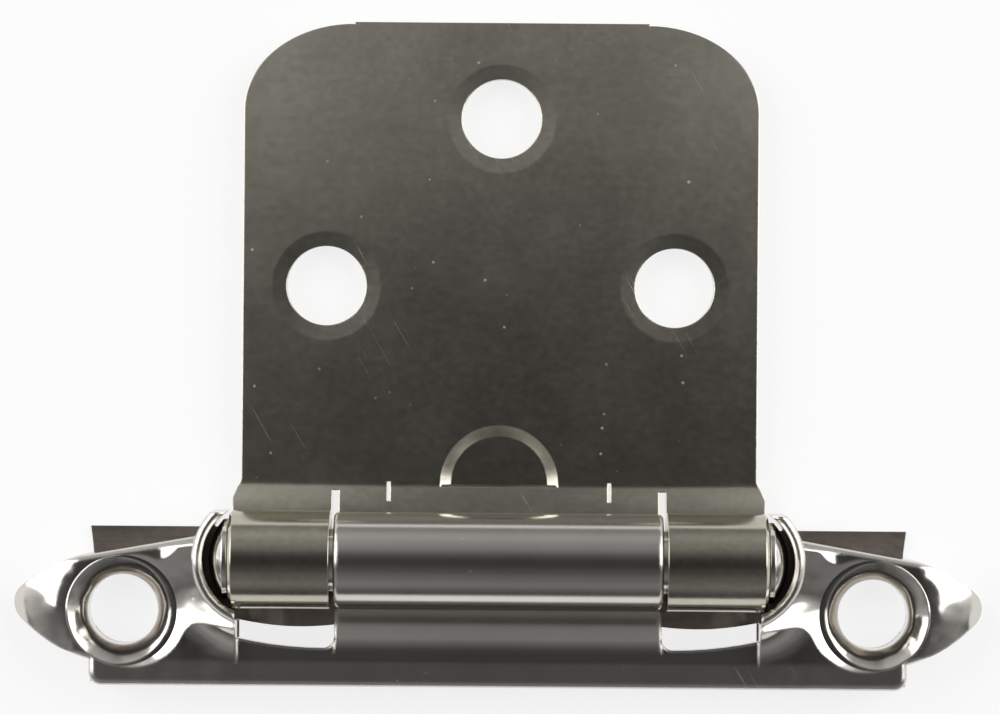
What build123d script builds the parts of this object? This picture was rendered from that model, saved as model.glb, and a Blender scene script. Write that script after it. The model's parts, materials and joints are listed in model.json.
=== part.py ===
from build123d import *
import math
import os

# Self-closing cabinet hinge, shut: X runs along the pin, +Y towards the door, +Z towards the room.
# The origin lies midway between the two frame screws, on the cabinet face.

# Pin and running fit
PIN_R = 2.30
FIT = 0.05
PIN_Y = 3.80
PIN_Z = 4.50
HEAD_R = 2.90
HEAD_RIM = 0.35
HEAD_CROWN = 1.10
END_PLAY = 0.10

# Sheet gauges
DOOR_SHEET = 1.20
FRAME_SHEET = 1.10
SPRING_SHEET = 0.40

# Knuckles along the pin
MIDDLE_HALF = 11.80
KNUCKLE_GAP = 0.30
KNUCKLE_END = 19.30
CAM_CORNER_R = 2.30
DOOR_CURL_ANGLE = 216.0
FRAME_CURL_ANGLE = 303.0
EDGE_BREAK = 0.22

# Door plate, with its places along Y measured from the pin
PLATE_HALF = 18.70
PLATE_FAR = 38.90
PLATE_BACK_Z = 0.40
BEND_FAR = 5.20
BEND_NEAR = 2.90
BEND_R = 1.50
CUT_EDGE = 2.95
CUT_DOWN = 2.10
RELIEF_WIDE = 0.50
RELIEF_FAR = 4.90
NICK_X = 8.00
NICK_Y = 4.85
NICK_WIDE = 0.20
NICK_LONG = 1.40
SHOULDER_UP = 0.50
SHOULDER_DOWN = 0.90
CORNER_A = 8.00
CORNER_B = 6.40
SHEAR_STEP = 0.14
DOOR_HOLE_R = 2.88
DISH_R = 3.95
DISH_DEEP = 0.20
LOWER_HOLE_X = 12.65
LOWER_HOLE_Y = 19.75
UPPER_HOLE_Y = 31.95
BUMP_HALF = 4.30
BUMP_TOP = 9.70
BUMP_SLOPE = 0.80
BUMP_DEEP = 0.40
PRESS_SPREAD = 0.35

# Frame leaf shell
SHELL_TOP = 4.00
SHELL_EDGE_R = 0.45
LEAF_HALF = 29.50
BAND_LOW = -5.40
CORNER_R = 0.90
EAR_SIDE_X = 21.40
EAR_SIDE_Y = 5.45
RAMP_TOP = -2.55
RAMP_BEND_R = 2.80
RAMP_LAP = 1.00

# Pointed tips, with their places along X measured from the ends of the straight leaf
TIP_LONG = 5.60
TIP_Y = 0.45
NOSE_BACK = 0.60
NOSE_HALF = 1.20
TIP_ROOT_LOW = -3.55
TIP_ROOT_OUT = 0.70
TIP_ROOT_HIGH = 3.90
LOW_BULGE = 0.34
HIGH_BULGE = 0.27
DOME_IN = 0.05
NOSE_DROP = 2.40
CREST_Y = 1.50
LOW_REACH = 4.60
LOW_DROP = 1.10
HIGH_REACH = 2.00
HIGH_DROP = 0.90
DOME_LIFT = 0.05
DOME_MARGIN = 0.60
TIP_STEPS = 10

# Screw cups
SCREW_IN = 2.35
SCREW_HOLE_R = 2.55
CUP_BORE_Z = 2.35
CUP_NECK_R = 4.20
CUP_LIP_R = 3.90
CUP_FLARE_R = 4.10
CUP_FLARE_IN = 0.70
CUP_FLARE_RUN = 2.50

# Ear walls round the pin heads
EAR_X = 17.10
EAR_Y = 3.85
EAR_R = 4.50
EAR_SHEET = 0.75
EAR_TOP = 6.20
EAR_RIM = 0.25
EAR_END_Y = 3.40
FLANK_R = 3.00
FLANK_IN = 0.50

# Windows for the door knuckles
WINDOW_LOW = -2.60
WINDOW_SIDE_RISE = 0.70
WINDOW_CORNER = 0.80

# Spring plate
SPRING_PROUD = 0.20
SPRING_WAIST = 0.40
SPRING_TOP = 5.95
SPRING_LOW = -5.35
SLOT_LOW = -3.20
SLOT_END = 18.85
BAR_LOW = -0.80
BAR_SAG = 0.45
BAR_FLAT = 10.00
BAR_LIFT = 0.50
BAR_RISE_OUT = 18.20
BAR_RISE_IN = 15.40
BAR_BEND_R = 2.50
SEAT_GAP = 0.02
SEAT_END_GAP = 0.10

bore_r = PIN_R + FIT
outer_in = MIDDLE_HALF + KNUCKLE_GAP
door_mid_r = bore_r + DOOR_SHEET / 2
frame_mid_r = bore_r + FRAME_SHEET / 2
plate_mid_z = PLATE_BACK_Z + DOOR_SHEET / 2
plate_front_z = PLATE_BACK_Z + DOOR_SHEET
far_y = PIN_Y + PLATE_FAR
axis_point = (0, PIN_Y, PIN_Z)
seat_z = SPRING_SHEET + SEAT_GAP
screw_x = LEAF_HALF - SCREW_IN
screw_spots = ((-screw_x, 0), (screw_x, 0))
spring_half = LEAF_HALF + SPRING_PROUD
dome_x = LEAF_HALF - DOME_IN
tip_x = LEAF_HALF + TIP_LONG

# Hinge pin with a domed head at each end
with BuildPart() as hinge_pin:
    with BuildSketch(Plane(origin=axis_point, x_dir=(1, 0, 0), z_dir=(0, 0, 1))):
        head_in = KNUCKLE_END + END_PLAY
        head_rim = head_in + HEAD_RIM
        head_out = head_rim + HEAD_CROWN
        with BuildLine():
            Line((-head_out, 0), (head_out, 0))
            crown_r = (HEAD_R**2 + HEAD_CROWN**2) / (2 * HEAD_CROWN)
            crown = RadiusArc((head_out, 0), (head_rim, HEAD_R), -crown_r)
            Polyline((head_rim, HEAD_R), (head_in, HEAD_R), (head_in, PIN_R), (-head_in, PIN_R))
            Polyline((-head_in, PIN_R), (-head_in, HEAD_R), (-head_rim, HEAD_R))
            mirror(crown, about=Plane.YZ)
        make_face()
    revolve(axis=Axis(axis_point, (1, 0, 0)))

# Door plate: flat sheet, swaged band, and two knuckles curled up round the far side of the pin
with BuildPart() as door_plate:
    with BuildSketch(Plane.YZ.offset(-KNUCKLE_END)):
        with BuildLine():
            under_z = PIN_Z - door_mid_r
            corner_mid = CAM_CORNER_R - DOOR_SHEET / 2
            corner_c = door_mid_r - corner_mid
            FilletPolyline(
                (far_y + DOOR_SHEET, plate_mid_z),
                (PIN_Y + BEND_FAR, plate_mid_z),
                (PIN_Y + BEND_NEAR, under_z),
                (PIN_Y, under_z),
                radius=BEND_R,
            )
            Line((PIN_Y, under_z), (PIN_Y - corner_c, under_z))
            CenterArc((PIN_Y - corner_c, PIN_Z - corner_c), corner_mid, 270, -90)
            Line((PIN_Y - door_mid_r, PIN_Z - corner_c), (PIN_Y - door_mid_r, PIN_Z))
            CenterArc((PIN_Y, PIN_Z), door_mid_r, 180, -DOOR_CURL_ANGLE)
        trace(line_width=DOOR_SHEET)
    extrude(amount=2 * KNUCKLE_END)
    with BuildSketch(Plane.XY):
        with BuildLine():
            step_x = PLATE_HALF - CORNER_A
            shoulder_y = far_y - CORNER_B
            barrel_y = PIN_Y - 2 * door_mid_r
            cut_y = PIN_Y + CUT_EDGE
            Line((step_x, far_y), (-step_x, far_y))
            Line((step_x, far_y), (step_x, far_y - SHEAR_STEP))
            Line((-step_x, far_y), (-step_x, far_y - SHEAR_STEP))
            corner_b = CORNER_B - SHEAR_STEP
            corner = EllipticalCenterArc((step_x, shoulder_y), CORNER_A, corner_b, 0, arc_size=90)
            mirror(corner, about=Plane.YZ)
            flank = Polyline(
                (PLATE_HALF, shoulder_y),
                (PLATE_HALF, PIN_Y + BEND_FAR + SHOULDER_UP),
                (KNUCKLE_END, PIN_Y + BEND_FAR - SHOULDER_DOWN),
                (KNUCKLE_END, barrel_y),
                (outer_in, barrel_y),
                (outer_in, PIN_Y + RELIEF_FAR),
                (outer_in - RELIEF_WIDE, PIN_Y + RELIEF_FAR),
                (outer_in - RELIEF_WIDE, cut_y),
                (0, cut_y),
            )
            mirror(flank, about=Plane.YZ)
        make_face()
        with Locations((-NICK_X, PIN_Y + NICK_Y), (NICK_X, PIN_Y + NICK_Y)):
            Rectangle(NICK_WIDE, NICK_LONG, mode=Mode.SUBTRACT)
    extrude(amount=PIN_Z + 2 * door_mid_r, mode=Mode.INTERSECT)
    # Room between the knuckles for the frame leaf's own knuckle
    with BuildSketch(Plane.XY.offset(PIN_Z - CUT_DOWN)):
        with Locations((0, PIN_Y)):
            Rectangle(2 * outer_in - RELIEF_WIDE, 4 * door_mid_r)
    extrude(amount=4 * door_mid_r, mode=Mode.SUBTRACT)
    # Broken edges on the outer ends of the curled knuckles
    curl_r = bore_r + DOOR_SHEET
    round_edges = door_plate.edges().filter_by(GeomType.CIRCLE)
    curl_edges = round_edges.filter_by(lambda e: abs(e.radius - curl_r) < FIT).sort_by(Axis.X)
    chamfer([curl_edges[0], curl_edges[-1]], EDGE_BREAK)
    # Half-round stiffening bump pressed back from the front
    back_half = BUMP_HALF + PRESS_SPREAD
    bump_c = PIN_Y + BUMP_TOP - BUMP_HALF
    foot_y = PIN_Y + BEND_FAR
    for z_from, half, mode in (
        (PLATE_BACK_Z, back_half, Mode.ADD),
        (plate_front_z, BUMP_HALF, Mode.SUBTRACT),
    ):
        for z, r in ((z_from, half), (z_from - BUMP_DEEP, half - BUMP_SLOPE)):
            with BuildSketch(Plane.XY.offset(z)):
                with BuildLine():
                    CenterArc((0, bump_c), r, 0, 180)
                    Polyline((r, bump_c), (r, foot_y), (-r, foot_y), (-r, bump_c))
                make_face()
        loft(mode=mode)
    # Screw holes in shallow dishes
    hole_spots = (
        (-LOWER_HOLE_X, PIN_Y + LOWER_HOLE_Y),
        (LOWER_HOLE_X, PIN_Y + LOWER_HOLE_Y),
        (0, PIN_Y + UPPER_HOLE_Y),
    )
    with Locations(*[(x, y, PLATE_BACK_Z - DISH_DEEP / 2) for x, y in hole_spots]):
        Cone(DOOR_HOLE_R + PRESS_SPREAD, DISH_R + PRESS_SPREAD, DISH_DEEP)
    with Locations(*[(x, y, plate_front_z - DISH_DEEP / 2) for x, y in hole_spots]):
        Cone(DOOR_HOLE_R, DISH_R, DISH_DEEP, mode=Mode.SUBTRACT)
    with Locations(*[(x, y, plate_mid_z) for x, y in hole_spots]):
        Cylinder(DOOR_HOLE_R, 3 * DOOR_SHEET, mode=Mode.SUBTRACT)

# Spring plate behind the frame leaf, its upper bar bowed forward on to the cam knuckles
with BuildPart() as closing_spring:
    with BuildSketch(Plane.XZ.offset(-SPRING_TOP)):
        with BuildLine():
            mid_z = SPRING_SHEET / 2
            FilletPolyline(
                (-spring_half, mid_z),
                (-BAR_RISE_OUT, mid_z),
                (-BAR_RISE_IN, mid_z + BAR_LIFT),
                (BAR_RISE_IN, mid_z + BAR_LIFT),
                (BAR_RISE_OUT, mid_z),
                (spring_half, mid_z),
                radius=BAR_BEND_R,
            )
        trace(line_width=SPRING_SHEET)
    extrude(amount=SPRING_TOP - SLOT_LOW)
    with BuildSketch(Plane.XY):
        with Locations((0, (SLOT_LOW + SPRING_LOW) / 2)):
            Rectangle(2 * spring_half, SLOT_LOW - SPRING_LOW)
    extrude(amount=SPRING_SHEET)
    with BuildSketch(Plane.XY):
        with BuildLine():
            middle_y = (SPRING_TOP + SPRING_LOW) / 2
            Line((-spring_half, SPRING_TOP), (spring_half, SPRING_TOP))
            high_end = (spring_half, SPRING_TOP)
            low_end = (spring_half, SPRING_LOW)
            end_arc = ThreePointArc(high_end, (spring_half - SPRING_WAIST, middle_y), low_end)
            Line((spring_half, SPRING_LOW), (-spring_half, SPRING_LOW))
            mirror(end_arc, about=Plane.YZ)
        make_face()
    extrude(amount=PIN_Z, both=True, mode=Mode.INTERSECT)
    with BuildSketch(Plane.XY):
        with BuildLine():
            sag_point = ((BAR_FLAT + SLOT_END) / 2, BAR_LOW - BAR_SAG)
            Line((-BAR_FLAT, BAR_LOW), (BAR_FLAT, BAR_LOW))
            bar_edge = ThreePointArc((BAR_FLAT, BAR_LOW), sag_point, (SLOT_END, BAR_LOW))
            mirror(bar_edge, about=Plane.YZ)
            Polyline((SLOT_END, BAR_LOW), (SLOT_END, SLOT_LOW), (-SLOT_END, SLOT_LOW), (-SLOT_END, BAR_LOW))
        make_face()
    extrude(amount=PIN_Z, both=True, mode=Mode.SUBTRACT)
    with Locations(*screw_spots):
        Cylinder(SCREW_HOLE_R, PIN_Z, mode=Mode.SUBTRACT)


# Height of the skin near a tip: level by the cup, falling to the nose and to both sides of a crest
def tip_height(x, y):
    along = (x - dome_x) / (tip_x - dome_x)
    if y < CREST_Y:
        side_drop = LOW_DROP * ((CREST_Y - y) / LOW_REACH) ** 2
    else:
        side_drop = HIGH_DROP * ((y - CREST_Y) / HIGH_REACH) ** 2
    return SHELL_TOP + DOME_LIFT - NOSE_DROP * along**3 - side_drop * along**2 * (3 - 2 * along)


# Space above the right-hand tip, down to the domed skin
with BuildPart() as tip_space:
    tip_rows = []
    for i in range(TIP_STEPS + 1):
        x = dome_x + i * (TIP_LONG + DOME_IN + DOME_MARGIN) / TIP_STEPS
        row = []
        for j in range(TIP_STEPS + 1):
            y = TIP_Y + (2 * j / TIP_STEPS - 1) * (TIP_Y - BAND_LOW + DOME_MARGIN)
            row.append(Vector(x, y, tip_height(x, y)))
        tip_rows.append(row)
    tip_skin = Face.make_surface_from_array_of_points(tip_rows, tol=0.01)
    extrude(tip_skin, amount=SHELL_TOP + EAR_TOP, dir=(0, 0, 1))

# Solid block of the leaf, level on top with rolled edges, then the block inset by the sheet for the hollow
with BuildPart() as block:
    with BuildSketch() as outline:
        with BuildLine():
            low_tip = (tip_x - NOSE_BACK, TIP_Y - NOSE_HALF)
            high_tip = (tip_x - NOSE_BACK, TIP_Y + NOSE_HALF)
            high_root = (LEAF_HALF + TIP_ROOT_OUT, TIP_ROOT_HIGH)
            Line((0, BAND_LOW), (LEAF_HALF - CORNER_R, BAND_LOW))
            RadiusArc((LEAF_HALF - CORNER_R, BAND_LOW), (LEAF_HALF, BAND_LOW + CORNER_R), -CORNER_R)
            Line((LEAF_HALF, BAND_LOW + CORNER_R), (LEAF_HALF, TIP_ROOT_LOW))
            SagittaArc((LEAF_HALF, TIP_ROOT_LOW), low_tip, -LOW_BULGE)
            ThreePointArc(low_tip, (tip_x, TIP_Y), high_tip)
            SagittaArc(high_tip, high_root, -HIGH_BULGE)
            Polyline(high_root, (EAR_SIDE_X, EAR_SIDE_Y), (0, EAR_SIDE_Y), (0, BAND_LOW))
        make_face()
        mirror(about=Plane.YZ)
    extrude(amount=SHELL_TOP)
    fillet(block.edges().group_by(Axis.Z)[-1], SHELL_EDGE_R)
    add(tip_space.part, mode=Mode.SUBTRACT)
    mirror(tip_space.part, about=Plane.YZ, mode=Mode.SUBTRACT)

with BuildPart() as hollow:
    with BuildSketch():
        offset(outline.sketch, amount=-FRAME_SHEET, kind=Kind.INTERSECTION)
    extrude(amount=SHELL_TOP - FRAME_SHEET)
    inner_space = tip_space.part.moved(Location((0, 0, -FRAME_SHEET)))
    add(inner_space, mode=Mode.SUBTRACT)
    mirror(inner_space, about=Plane.YZ, mode=Mode.SUBTRACT)

# Flank that rises from the right-hand cup to the ear wall
ear_in = EAR_R - EAR_SHEET / 2
ear_out = EAR_R + EAR_SHEET / 2
with BuildPart() as ear_flank:
    with BuildSketch(Plane(origin=(EAR_X, EAR_Y, 0), x_dir=(1, 0, 0), z_dir=(0, -1, 0))):
        with BuildLine():
            flank_foot = (ear_out + FLANK_R, SHELL_TOP)
            rim_drop = SHELL_TOP + FLANK_R - EAR_TOP + EAR_RIM
            flank_head = (ear_out + FLANK_R - math.sqrt(FLANK_R**2 - rim_drop**2), EAR_TOP - EAR_RIM)
            RadiusArc(flank_head, flank_foot, -FLANK_R)
            Polyline(flank_foot, (flank_foot[0], seat_z), (ear_in, seat_z))
            Polyline((ear_in, seat_z), (ear_in, flank_head[1]), flank_head)
        make_face()
    revolve(axis=Axis((EAR_X, EAR_Y, 0), (0, 0, 1)))
    with BuildSketch():
        with BuildLine():
            flank_low = BAND_LOW + SHELL_EDGE_R
            flank_end = LEAF_HALF - FLANK_IN
            Polyline(
                (SLOT_END, flank_low),
                (flank_end, flank_low),
                (flank_end, TIP_ROOT_HIGH),
                (EAR_SIDE_X, EAR_SIDE_Y - SHELL_EDGE_R),
                (SLOT_END, EAR_SIDE_Y - SHELL_EDGE_R),
                close=True,
            )
        make_face()
    extrude(amount=EAR_TOP, mode=Mode.INTERSECT)

# Right-hand ear wall with a rounded rim
with BuildPart() as ear_wall:
    with BuildSketch(Plane.XY.offset(seat_z)):
        with Locations((EAR_X, EAR_Y)):
            Circle(ear_out)
            Circle(ear_in, mode=Mode.SUBTRACT)
        with Locations((SLOT_END - EAR_R, EAR_Y)):
            Rectangle(2 * EAR_R, 4 * EAR_R, mode=Mode.SUBTRACT)
        with Locations((EAR_X, PIN_Y + EAR_END_Y + EAR_R)):
            Rectangle(4 * EAR_R, 2 * EAR_R, mode=Mode.SUBTRACT)
    extrude(amount=EAR_TOP - seat_z)
    chamfer(ear_wall.edges().group_by(Axis.Z)[-1].filter_by(GeomType.CIRCLE), EAR_RIM)

# Middle tongue: down the ramp, under the pin and rolled back over the front
with BuildPart() as tongue:
    with BuildSketch(Plane.YZ.offset(-MIDDLE_HALF)):
        with BuildLine():
            band_mid = SHELL_TOP - FRAME_SHEET / 2
            reach_y = PIN_Y - RAMP_TOP
            reach_z = PIN_Z - band_mid
            ramp_angle = math.asin(frame_mid_r / math.hypot(reach_y, reach_z)) - math.atan2(reach_z, reach_y)
            touch_y = PIN_Y - frame_mid_r * math.sin(ramp_angle)
            touch_z = PIN_Z - frame_mid_r * math.cos(ramp_angle)
            FilletPolyline(
                (RAMP_TOP - 2 * RAMP_LAP, band_mid),
                (RAMP_TOP, band_mid),
                (touch_y, touch_z),
                radius=RAMP_BEND_R,
            )
            CenterArc((PIN_Y, PIN_Z), frame_mid_r, 270 - math.degrees(ramp_angle), FRAME_CURL_ANGLE)
        trace(line_width=FRAME_SHEET)
    extrude(amount=2 * MIDDLE_HALF)
    roll_r = bore_r + FRAME_SHEET
    round_edges = tongue.edges().filter_by(GeomType.CIRCLE)
    chamfer(round_edges.filter_by(lambda e: abs(e.radius - roll_r) < FIT), EDGE_BREAK)

# Frame leaf: hollow shell with pointed ends, screw cups, ear walls and a rolled middle knuckle
with BuildPart() as frame_leaf:
    add(block.part)
    add(ear_flank.part)
    mirror(ear_flank.part, about=Plane.YZ)
    add(hollow.part, mode=Mode.SUBTRACT)
    # Necks of the drawn screw cups
    with BuildSketch(Plane.XY.offset(seat_z)):
        with Locations(*screw_spots):
            Circle(CUP_NECK_R)
    extrude(amount=SHELL_TOP - FRAME_SHEET / 2 - seat_z)
    # Windows for the outer knuckles, and room for the tongue
    with BuildSketch():
        with BuildLine():
            ear_low = EAR_Y - math.sqrt(ear_in**2 - (SLOT_END - EAR_X) ** 2)
            ear_high_y = PIN_Y + EAR_END_Y
            ear_high_x = EAR_X + math.sqrt(ear_in**2 - (ear_high_y - EAR_Y) ** 2)
            window_top = PIN_Y + 2 * EAR_R
            corner_x = MIDDLE_HALF + WINDOW_CORNER
            corner_y = WINDOW_LOW + WINDOW_CORNER
            side_y = WINDOW_LOW + WINDOW_SIDE_RISE
            Line((MIDDLE_HALF, window_top), (MIDDLE_HALF, corner_y))
            RadiusArc((MIDDLE_HALF, corner_y), (corner_x, WINDOW_LOW), -WINDOW_CORNER)
            TangentArc((corner_x, WINDOW_LOW), (SLOT_END, side_y), tangent=(1, 0))
            Line((SLOT_END, side_y), (SLOT_END, ear_low))
            ThreePointArc((SLOT_END, ear_low), (EAR_X + ear_in, EAR_Y), (ear_high_x, ear_high_y))
            Polyline((ear_high_x, ear_high_y), (ear_high_x, window_top), (MIDDLE_HALF, window_top))
        make_face()
        mirror(about=Plane.YZ)
        with Locations((0, (RAMP_TOP - RAMP_LAP + window_top) / 2)):
            Rectangle(2 * MIDDLE_HALF, window_top - RAMP_TOP + RAMP_LAP)
    extrude(amount=EAR_TOP + PIN_Z, mode=Mode.SUBTRACT)
    # Drawn cups, each with a shallow flare off centre towards its ear
    lip_slope = (CUP_LIP_R - SCREW_HOLE_R) / (SHELL_TOP - CUP_BORE_Z)
    lip_top = CUP_LIP_R + lip_slope * (EAR_TOP - SHELL_TOP)
    flare_top = CUP_FLARE_R + CUP_FLARE_RUN * (EAR_TOP - SHELL_TOP)
    flare_foot = SHELL_TOP - CUP_FLARE_R / CUP_FLARE_RUN
    for side in (-1, 1):
        cup_spot = (side * screw_x, 0, 0)
        with BuildSketch(Plane(origin=cup_spot, x_dir=(1, 0, 0), z_dir=(0, -1, 0))):
            with BuildLine():
                Polyline((0, 0), (SCREW_HOLE_R, 0), (SCREW_HOLE_R, CUP_BORE_Z), (lip_top, EAR_TOP))
                Polyline((lip_top, EAR_TOP), (0, EAR_TOP), (0, 0))
            make_face()
        revolve(axis=Axis(cup_spot, (0, 0, 1)), mode=Mode.SUBTRACT)
        flare_spot = (side * (screw_x - CUP_FLARE_IN), 0, 0)
        with BuildSketch(Plane(origin=flare_spot, x_dir=(1, 0, 0), z_dir=(0, -1, 0))):
            with BuildLine():
                Polyline((0, flare_foot), (flare_top, EAR_TOP), (0, EAR_TOP), (0, flare_foot))
            make_face()
        revolve(axis=Axis(flare_spot, (0, 0, 1)), mode=Mode.SUBTRACT)
    add(ear_wall.part)
    mirror(ear_wall.part, about=Plane.YZ)
    add(tongue.part)
    # Seat for the spring plate
    with Locations((0, 0, seat_z / 2)):
        Box(2 * (spring_half + SEAT_END_GAP), 4 * EAR_R, seat_z, mode=Mode.SUBTRACT)

frame_leaf.part.label = "frame_leaf"
closing_spring.part.label = "closing_spring"
door_plate.part.label = "door_plate"
hinge_pin.part.label = "hinge_pin"
os.makedirs("parts", exist_ok=True)
export_step(frame_leaf.part, "parts/frame_leaf.step")
export_step(closing_spring.part, "parts/closing_spring.step")
export_step(door_plate.part, "parts/door_plate.step")
export_step(hinge_pin.part, "parts/hinge_pin.step")
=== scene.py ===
import json
import math

import bpy
from mathutils import Matrix, Vector


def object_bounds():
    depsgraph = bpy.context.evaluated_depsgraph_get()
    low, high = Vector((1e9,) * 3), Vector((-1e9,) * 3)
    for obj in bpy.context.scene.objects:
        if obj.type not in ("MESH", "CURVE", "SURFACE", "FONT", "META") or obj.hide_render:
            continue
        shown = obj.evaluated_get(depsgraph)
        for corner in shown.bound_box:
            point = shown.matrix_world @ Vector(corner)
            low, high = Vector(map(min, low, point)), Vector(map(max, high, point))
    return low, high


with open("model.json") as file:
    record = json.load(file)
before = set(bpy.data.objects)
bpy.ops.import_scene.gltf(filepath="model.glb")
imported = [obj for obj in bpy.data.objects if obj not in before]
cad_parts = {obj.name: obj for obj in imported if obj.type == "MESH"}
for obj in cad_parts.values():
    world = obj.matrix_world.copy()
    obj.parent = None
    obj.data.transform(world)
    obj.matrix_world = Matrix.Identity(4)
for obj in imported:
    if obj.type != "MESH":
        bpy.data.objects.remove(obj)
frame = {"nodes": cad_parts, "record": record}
cad_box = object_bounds()

MM = 0.001

# Camera, square on to the front of the hinge
LOOK_AT = Vector((0, 18.46 * MM, 3.0 * MM))
CAMERA_DISTANCE = 297 * MM
CAMERA_LENS = 148.0
CAMERA_SENSOR = 36.0
CAMERA_CLIP = 10 * MM
CAMERA_ROLL = math.radians(0.45)

# Soft boxes on the left and right of the hinge, in metres and watts
BOX_WIDTH = 0.60
BOX_HEIGHT = 0.80
BOX_REACH = 0.55
BOX_RISE = 0.32
BOX_BACK = 0.22
BOX_POWER = 4.0

# Greys of the light tent's ceiling, by degrees from straight up towards +Y, darkest round the lens,
# and the place of straight up on their ramp
STRAIGHT_UP = 0.5
CEILING = (
    (-100, 0.08),
    (-88, 0.06),
    (-56, 0.22),
    (-40, 0.16),
    (-20, 0.08),
    (-6, 0.04),
    (5, 0.04),
    (17, 0.09),
    (27, 0.19),
    (40, 0.28),
    (62, 0.40),
    (90, 0.20),
)

# Haze multiplies the ceiling, least in the middle and most from this reach out to each side,
# by the X part of the direction
HAZE_REACH = 0.15
HAZE_MIDDLE = 0.85
HAZE_LEFT = 1.55
HAZE_RIGHT = 1.25

# The tent turns white towards both sides, by the X part of the direction, and fades towards -Y, by its Y part
SIDE_LEVEL = 1.1
SIDE_FROM = 0.50
SIDE_TO = 0.85
SIDE_FRONT = -0.34
SIDE_BACK = 0.06

# Pale paper under the hinge
FLOOR_SIZE = 8.0
FLOOR_GAP = 0.02 * MM
FLOOR_COLOUR = (0.90, 0.90, 0.90, 1)
FLOOR_ROUGHNESS = 0.9
FLOOR_GLOW = 0.80

# Grain of the plated sheet: name, size in mm along X, Y and Z, and detail
GRAIN = (
    ("Cloud", (5.0, 5.0, 5.0), 3.0),
    ("Fine", (0.55, 0.45, 0.45), 3.0),
    ("Lines", (18.0, 0.16, 0.16), 2.0),
)
MIDDLE_NOISE = 0.5
MIDDLE_TONE = 0.5
WAVE_SIZE = (2.6, 2.2, 2.2)
WAVE_DETAIL = 1.0

# Marks: sizes in mm, and the span of noise or distance over which each comes in
SPECK_SPACING = (1.5, 1.5, 1.5)
SPECK_SPAN = (0.03, 0.10)
SPECK_PATCH = (4.0, 4.0, 4.0)
SPECK_PATCH_SPAN = (0.49, 0.60)
SCRATCH_SIZE = (5.0, 0.09, 5.0)
SCRATCH_TURN = -60
SCRATCH_SPAN = (0.76, 0.82)
RUB_SIZE = (7.0, 7.0, 7.0)
RUB_DETAIL = 1.0
RUB_SPAN = (0.58, 0.68)

# What mottle and marks do to the gloss, and the relief that they leave
UNEVEN_GLOSS = 0.10
SCUFF_GLOSS = 0.35
RELIEF_DEPTH = 0.01 * MM
RELIEF_STRENGTH = 0.25
EDGE_SAMPLES = 6

# The door plate's sheet is burnished where it is curled, and satin and a little bowed where it is flat.
# The bow is given as curvature, per metre.
CURL_END = 7.0 * MM
FLAT_START = 9.5 * MM
FLAT_GLOSS = 0.21
BOW_ALONG = 7.0
BOW_ACROSS = 3.0

# The pressed dishes round its screw holes reach this far out, and their slope is eased by this much
DISH_R = 3.95 * MM
DISH_EASE = 0.11

# The frame leaf's barrel is rolled, its lower band is satin, and its ends are pressed and bright
BARREL_END = 17.5 * MM
ENDS_START = 20.0 * MM
ENDS_GLOSS = 0.12
BAND_START = -2.8 * MM
BAND_FULL = -3.8 * MM
BAND_GLOSS = 0.24

# The walls of its screw cups are a little rounded from the hole to the lip, and keep their slope at the turn.
# The rounding is given as curvature, per metre.
CUP_TURN = 2.80 * MM
CUP_LIP = 4.00 * MM
CUP_CURVE = 400.0

# The places of the screw holes and of the door plate's front come from the record's mounts
MOUNTS = {mount["name"]: mount for mount in frame["record"]["mounts"]}


class Graph:
    """A node tree with short ways to add and join its nodes."""

    def __init__(self, tree):
        self.tree = tree

    def add(self, kind, **settings):
        node = self.tree.nodes.new(kind)
        for key, value in settings.items():
            setattr(node, key, value)
        return node

    def join(self, source, target):
        self.tree.links.new(source, target)

    def math(self, operation, first, second=None):
        node = self.add("ShaderNodeMath", operation=operation)
        for socket, value in zip(node.inputs, (first, second)):
            if isinstance(value, (int, float)):
                socket.default_value = value
            elif value is not None:
                self.join(value, socket)
        return node.outputs[0]

    def total(self, first, *others):
        for value in others:
            first = self.math("ADD", first, value)
        return first

    def product(self, first, *others):
        for value in others:
            first = self.math("MULTIPLY", first, value)
        return first

    def spread(self, value, low, high, to_low=0.0, to_high=1.0):
        node = self.add("ShaderNodeMapRange", interpolation_type="SMOOTHSTEP")
        self.join(value, node.inputs["Value"])
        node.inputs["From Min"].default_value = low
        node.inputs["From Max"].default_value = high
        node.inputs["To Min"].default_value = to_low
        node.inputs["To Max"].default_value = to_high
        return node.outputs["Result"]

    def coords(self, kind="Object"):
        return self.add("ShaderNodeTexCoord").outputs[kind]

    def axes(self, place):
        node = self.add("ShaderNodeSeparateXYZ")
        self.join(place, node.inputs["Vector"])
        return node.outputs

    def steps(self, size, turn=0.0):
        """Place on the piece, in steps of size millimetres along axes turned about Z."""
        mapping = self.add("ShaderNodeMapping", vector_type="TEXTURE")
        mapping.inputs["Scale"].default_value = [length * MM for length in size]
        mapping.inputs["Rotation"].default_value = (0, 0, math.radians(turn))
        self.join(self.coords(), mapping.inputs["Vector"])
        return mapping.outputs["Vector"]

    def noise(self, size, detail=2.0, turn=0.0):
        node = self.add("ShaderNodeTexNoise")
        self.join(self.steps(size, turn), node.inputs["Vector"])
        node.inputs["Scale"].default_value = 1.0
        node.inputs["Detail"].default_value = detail
        return node.outputs["Fac"]

    def bump(self, height, normal, distance=1.0, strength=1.0):
        """The normal tipped by a height, which is in steps of distance metres."""
        node = self.add("ShaderNodeBump")
        node.inputs["Distance"].default_value = distance
        node.inputs["Strength"].default_value = strength
        self.join(height, node.inputs["Height"])
        self.join(normal, node.inputs["Normal"])
        return node.outputs["Normal"]

    def group(self, tree, amounts):
        node = self.add("ShaderNodeGroup", node_tree=tree)
        for name, amount in amounts.items():
            node.inputs[name].default_value = amount
        return node.outputs


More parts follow.
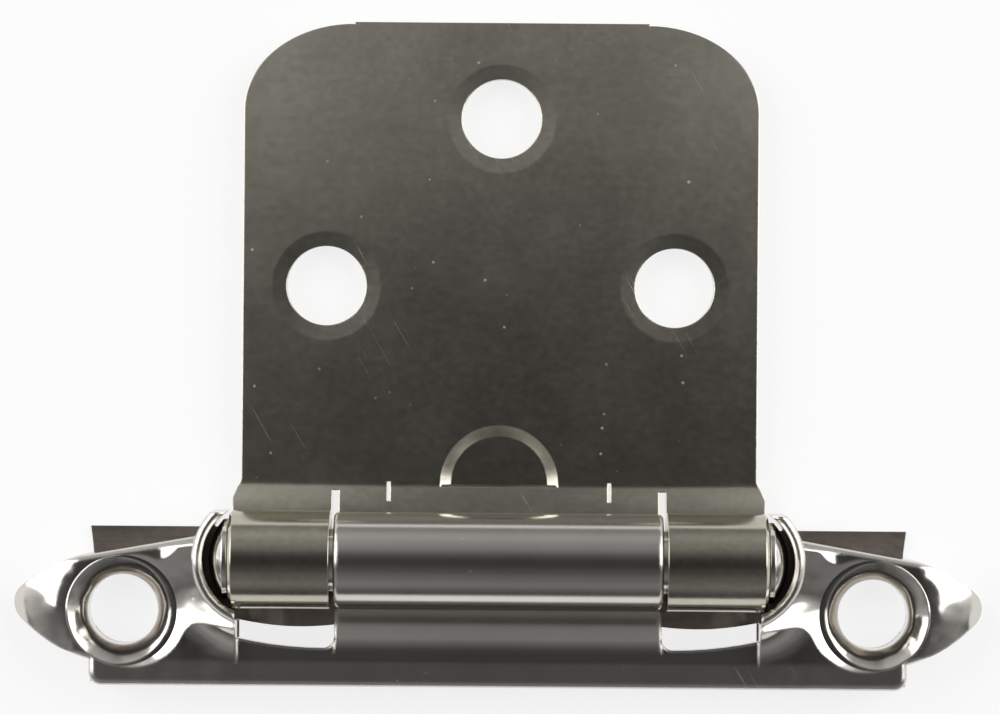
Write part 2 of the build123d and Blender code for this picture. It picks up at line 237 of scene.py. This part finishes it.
def new_group(name, given, made):
    """A node group with named number sockets, and its graph, inputs and outputs."""
    tree = bpy.data.node_groups.new(name, "ShaderNodeTree")
    for socket_name in given:
        tree.interface.new_socket(socket_name, in_out="INPUT", socket_type="NodeSocketFloat")
    for socket_name in made:
        tree.interface.new_socket(socket_name, in_out="OUTPUT", socket_type="NodeSocketFloat")
    graph = Graph(tree)
    return graph, graph.add("NodeGroupInput").outputs, graph.add("NodeGroupOutput").inputs


def sheet_mottle():
    """Slow clouds, fine mottling and faint mill lines in plated sheet, and the height of its waves."""
    graph, given, made = new_group("sheet_mottle", ["Cloud", "Fine", "Lines", "Waves"], ["Tone", "Height"])
    tone = MIDDLE_TONE
    for name, size, detail in GRAIN:
        swing = graph.math("SUBTRACT", graph.noise(size, detail), MIDDLE_NOISE)
        tone = graph.total(graph.product(swing, given[name]), tone)
    graph.join(tone, made["Tone"])
    graph.join(graph.product(graph.noise(WAVE_SIZE, WAVE_DETAIL), given["Waves"], MM), made["Height"])
    return graph.tree


def bin_marks():
    """Pin-prick specks and a few hair scratches from lying loose in a bin."""
    graph, given, made = new_group("bin_marks", ["Specks", "Scratches"], ["Specks", "Scratches"])
    dots = graph.add("ShaderNodeTexVoronoi")
    graph.join(graph.steps(SPECK_SPACING), dots.inputs["Vector"])
    dots.inputs["Scale"].default_value = 1.0
    near = graph.spread(dots.outputs["Distance"], *SPECK_SPAN, 1.0, 0.0)
    patches = graph.spread(graph.noise(SPECK_PATCH), *SPECK_PATCH_SPAN)
    graph.join(graph.product(near, patches, given["Specks"]), made["Specks"])
    hairs = graph.spread(graph.noise(SCRATCH_SIZE, 0.0, SCRATCH_TURN), *SCRATCH_SPAN)
    rubbed = graph.spread(graph.noise(RUB_SIZE, RUB_DETAIL), *RUB_SPAN)
    graph.join(graph.product(hairs, rubbed, given["Scratches"]), made["Scratches"])
    return graph.tree


MOTTLE = sheet_mottle()
MARKS = bin_marks()


def dish_centres():
    """Middles of the door plate's three screw holes, on its front."""
    pair = MOUNTS["door_screws"]
    single = MOUNTS["door_top_screw"]
    front = MOUNTS["door_face"]["pos_m"][2]
    half = pair["dims"]["spacing_x_mm"] / 2 * MM
    places = ((-half, pair["pos_m"][1]), (half, pair["pos_m"][1]), (0, single["pos_m"][1]))
    return [(x, y, front) for x, y in places]


def door_plate_form(graph, waves, gloss):
    """Height and roughness of the door plate, whose flat sheet is bowed and has eased dishes."""
    place = graph.coords()
    axes = graph.axes(place)
    flat = graph.spread(axes["Y"], CURL_END, FLAT_START)
    along = graph.math("MAXIMUM", graph.math("SUBTRACT", axes["Y"], FLAT_START), 0.0)
    drop_along = graph.product(along, along, -BOW_ALONG / 2)
    drop_across = graph.product(axes["X"], axes["X"], flat, -BOW_ACROSS / 2)
    height = graph.total(waves, drop_along, drop_across)
    for centre in dish_centres():
        reach = graph.add("ShaderNodeVectorMath", operation="DISTANCE")
        graph.join(place, reach.inputs[0])
        reach.inputs[1].default_value = centre
        inside = graph.math("MAXIMUM", graph.math("SUBTRACT", DISH_R, reach.outputs["Value"]), 0.0)
        height = graph.total(height, graph.product(inside, DISH_EASE))
    return height, graph.spread(flat, 0.0, 1.0, gloss, FLAT_GLOSS)


def frame_leaf_form(graph, waves, gloss):
    """Height and roughness of the frame leaf, with waves only in its pressed ends and rounded screw cups."""
    axes = graph.axes(graph.coords())
    from_middle = graph.math("ABSOLUTE", axes["X"])
    ends = graph.spread(from_middle, BARREL_END, ENDS_START)
    band = graph.spread(axes["Y"], BAND_FULL, BAND_START, 1.0, 0.0)
    rough = graph.spread(ends, 0.0, 1.0, gloss, ENDS_GLOSS)
    rough = graph.math("MAXIMUM", rough, graph.product(band, BAND_GLOSS))

    screws = MOUNTS["frame_screws"]["dims"]
    across = graph.math("SUBTRACT", from_middle, screws["spacing_x_mm"] / 2 * MM)
    squares = graph.total(graph.product(across, across), graph.product(axes["Y"], axes["Y"]))
    radius = graph.math("SQRT", squares)
    wall = graph.math("MINIMUM", graph.math("MAXIMUM", radius, screws["hole_r_mm"] * MM), CUP_LIP)
    past_turn = graph.math("SUBTRACT", wall, CUP_TURN)
    rounding = graph.product(past_turn, past_turn, -CUP_CURVE / 2)
    return graph.total(graph.product(waves, ends), rounding), rough


def plated_metal(name, dark, light, gloss, edge, grain, marks, form=None):
    """Plated sheet: two tones mixed by its mottle, mottle and marks in its gloss, and softened edges.

    gloss is the roughness and edge the radius of the softened edges. grain and marks are the amounts for the
    two groups, with waves in mm. form, where given, works out height and roughness from waves and gloss.
    """
    material = bpy.data.materials.new(name)
    material.use_nodes = True
    graph = Graph(material.node_tree)
    shader = material.node_tree.nodes["Principled BSDF"]
    shader.inputs["Metallic"].default_value = 1.0
    mottle = graph.group(MOTTLE, grain)
    worn = graph.group(MARKS, marks)

    tone = graph.add("ShaderNodeMix", data_type="RGBA")
    tone.inputs["A"].default_value = (*dark, 1)
    tone.inputs["B"].default_value = (*light, 1)
    graph.join(mottle["Tone"], tone.inputs["Factor"])
    graph.join(tone.outputs["Result"], shader.inputs["Base Color"])

    height = mottle["Height"]
    rough = gloss
    if form:
        height, rough = form(graph, height, gloss)
    scuffs = graph.total(worn["Specks"], worn["Scratches"])
    uneven = graph.product(graph.math("SUBTRACT", mottle["Tone"], MIDDLE_TONE), UNEVEN_GLOSS)
    graph.join(graph.total(uneven, rough, graph.product(scuffs, SCUFF_GLOSS)), shader.inputs["Roughness"])

    soft_edge = graph.add("ShaderNodeBevel", samples=EDGE_SAMPLES)
    soft_edge.inputs["Radius"].default_value = edge
    shape = graph.bump(height, soft_edge.outputs["Normal"])
    relief = graph.math("SUBTRACT", mottle["Tone"], scuffs)
    graph.join(graph.bump(relief, shape, RELIEF_DEPTH, RELIEF_STRENGTH), shader.inputs["Normal"])
    return material


FINISHES = {
    "door_plate": plated_metal(
        "nickel_door_plate",
        dark=(0.40, 0.38, 0.31),
        light=(0.63, 0.60, 0.51),
        gloss=0.17,
        edge=0.12 * MM,
        grain={"Cloud": 0.55, "Fine": 0.55, "Lines": 0.12, "Waves": 0.010},
        marks={"Specks": 0.8, "Scratches": 0.35},
        form=door_plate_form,
    ),
    "frame_leaf": plated_metal(
        "bright_frame_leaf",
        dark=(0.58, 0.55, 0.51),
        light=(0.76, 0.73, 0.68),
        gloss=0.18,
        edge=0.32 * MM,
        grain={"Cloud": 0.4, "Fine": 0.1, "Lines": 0.06, "Waves": 0.12},
        marks={"Specks": 0.4, "Scratches": 0.2},
        form=frame_leaf_form,
    ),
    "hinge_pin": plated_metal(
        "turned_pin",
        dark=(0.58, 0.56, 0.52),
        light=(0.76, 0.74, 0.70),
        gloss=0.16,
        edge=0.12 * MM,
        grain={"Cloud": 0.4, "Fine": 0.4, "Lines": 0.0, "Waves": 0.03},
        marks={"Specks": 0.3, "Scratches": 0.2},
    ),
    "closing_spring": plated_metal(
        "brown_spring_steel",
        dark=(0.34, 0.29, 0.25),
        light=(0.54, 0.47, 0.42),
        gloss=0.32,
        edge=0.06 * MM,
        grain={"Cloud": 0.9, "Fine": 0.6, "Lines": 0.5, "Waves": 0.02},
        marks={"Specks": 0.5, "Scratches": 0.4},
    ),
}


def dress_nodes():
    for node, material in FINISHES.items():
        piece = frame["nodes"][node]
        piece.data.materials.clear()
        piece.data.materials.append(material)


def pale_paper():
    """Paper that stays white to the eye and in the metal, and keeps a soft shadow."""
    material = bpy.data.materials.new("pale_paper")
    material.use_nodes = True
    graph = Graph(material.node_tree)
    shader = material.node_tree.nodes["Principled BSDF"]
    shader.inputs["Base Color"].default_value = FLOOR_COLOUR
    shader.inputs["Roughness"].default_value = FLOOR_ROUGHNESS
    shader.inputs["Specular IOR Level"].default_value = 0.0
    glow = graph.add("ShaderNodeEmission")
    path = graph.add("ShaderNodeLightPath")
    seen = graph.math("MAXIMUM", path.outputs["Is Camera Ray"], path.outputs["Is Glossy Ray"])
    seen = graph.math("MAXIMUM", seen, path.outputs["Is Transmission Ray"])
    blend = graph.add("ShaderNodeMixShader")
    graph.join(graph.product(seen, FLOOR_GLOW), blend.inputs["Fac"])
    graph.join(shader.outputs["BSDF"], blend.inputs[1])
    graph.join(glow.outputs["Emission"], blend.inputs[2])
    graph.join(blend.outputs["Shader"], material.node_tree.nodes["Material Output"].inputs["Surface"])
    return material


def lay_floor():
    half = FLOOR_SIZE / 2
    level = cad_box[0].z - FLOOR_GAP
    mesh = bpy.data.meshes.new("floor")
    corners = [(-half, -half, level), (half, -half, level), (half, half, level), (-half, half, level)]
    mesh.from_pydata(corners, [], [(0, 1, 2, 3)])
    mesh.materials.append(pale_paper())
    floor = bpy.data.objects.new("floor", mesh)
    bpy.context.scene.collection.objects.link(floor)


def ceiling_greys(graph, axes):
    """Greys of the ceiling by the angle from straight up towards +Y, times the haze from left to right."""
    turns = graph.math("DIVIDE", graph.math("ARCTAN2", axes["Y"], axes["Z"]), 2 * math.pi)
    greys = graph.add("ShaderNodeValToRGB")
    greys.color_ramp.interpolation = "EASE"
    graph.join(graph.total(turns, STRAIGHT_UP), greys.inputs["Fac"])
    stops = greys.color_ramp.elements
    while len(stops) < len(CEILING):
        stops.new(STRAIGHT_UP)
    for stop, (degrees, level) in zip(stops, CEILING):
        stop.position = degrees / 360 + STRAIGHT_UP
        stop.color = (level, level, level, 1)
    left = graph.spread(axes["X"], -HAZE_REACH, 0.0, HAZE_LEFT, HAZE_MIDDLE)
    right = graph.spread(axes["X"], 0.0, HAZE_REACH, HAZE_MIDDLE, HAZE_RIGHT)
    ceiling = graph.add("ShaderNodeVectorMath", operation="SCALE")
    graph.join(greys.outputs["Color"], ceiling.inputs["Vector"])
    graph.join(graph.math("MAXIMUM", left, right), ceiling.inputs["Scale"])
    return ceiling.outputs["Vector"]


def hang_tent():
    """Light tent: grey ceiling, white towards both sides."""
    world = bpy.data.worlds.new("light_tent")
    bpy.context.scene.world = world
    world.use_nodes = True
    graph = Graph(world.node_tree)
    axes = graph.axes(graph.coords("Generated"))
    sideways = graph.spread(graph.math("ABSOLUTE", axes["X"]), SIDE_FROM, SIDE_TO)
    tent = graph.add("ShaderNodeMix", data_type="RGBA")
    graph.join(graph.product(sideways, graph.spread(axes["Y"], SIDE_FRONT, SIDE_BACK)), tent.inputs["Factor"])
    graph.join(ceiling_greys(graph, axes), tent.inputs["A"])
    tent.inputs["B"].default_value = (SIDE_LEVEL, SIDE_LEVEL, SIDE_LEVEL, 1)
    graph.join(tent.outputs["Result"], world.node_tree.nodes["Background"].inputs["Color"])


def hang_soft_boxes():
    for name, side in (("left_soft_box", -1), ("right_soft_box", 1)):
        lamp = bpy.data.lights.new(name, "AREA")
        lamp.shape = "RECTANGLE"
        lamp.size = BOX_WIDTH
        lamp.size_y = BOX_HEIGHT
        lamp.energy = BOX_POWER
        box = bpy.data.objects.new(name, lamp)
        bpy.context.scene.collection.objects.link(box)
        box.location = (side * BOX_REACH, LOOK_AT.y + BOX_BACK, BOX_RISE)
        box.rotation_euler = (LOOK_AT - box.location).to_track_quat("-Z", "Y").to_euler()


def set_camera():
    data = bpy.data.cameras.new("front_camera")
    data.lens = CAMERA_LENS
    data.sensor_width = CAMERA_SENSOR
    data.clip_start = CAMERA_CLIP
    camera = bpy.data.objects.new("front_camera", data)
    bpy.context.scene.collection.objects.link(camera)
    place = Matrix.Translation(LOOK_AT + Vector((0, 0, CAMERA_DISTANCE)))
    camera.matrix_world = place @ Matrix.Rotation(CAMERA_ROLL, 4, "Z")
    bpy.context.scene.camera = camera


dress_nodes()
lay_floor()
hang_tent()
hang_soft_boxes()
set_camera()
bpy.context.scene.view_settings.view_transform = "Standard"
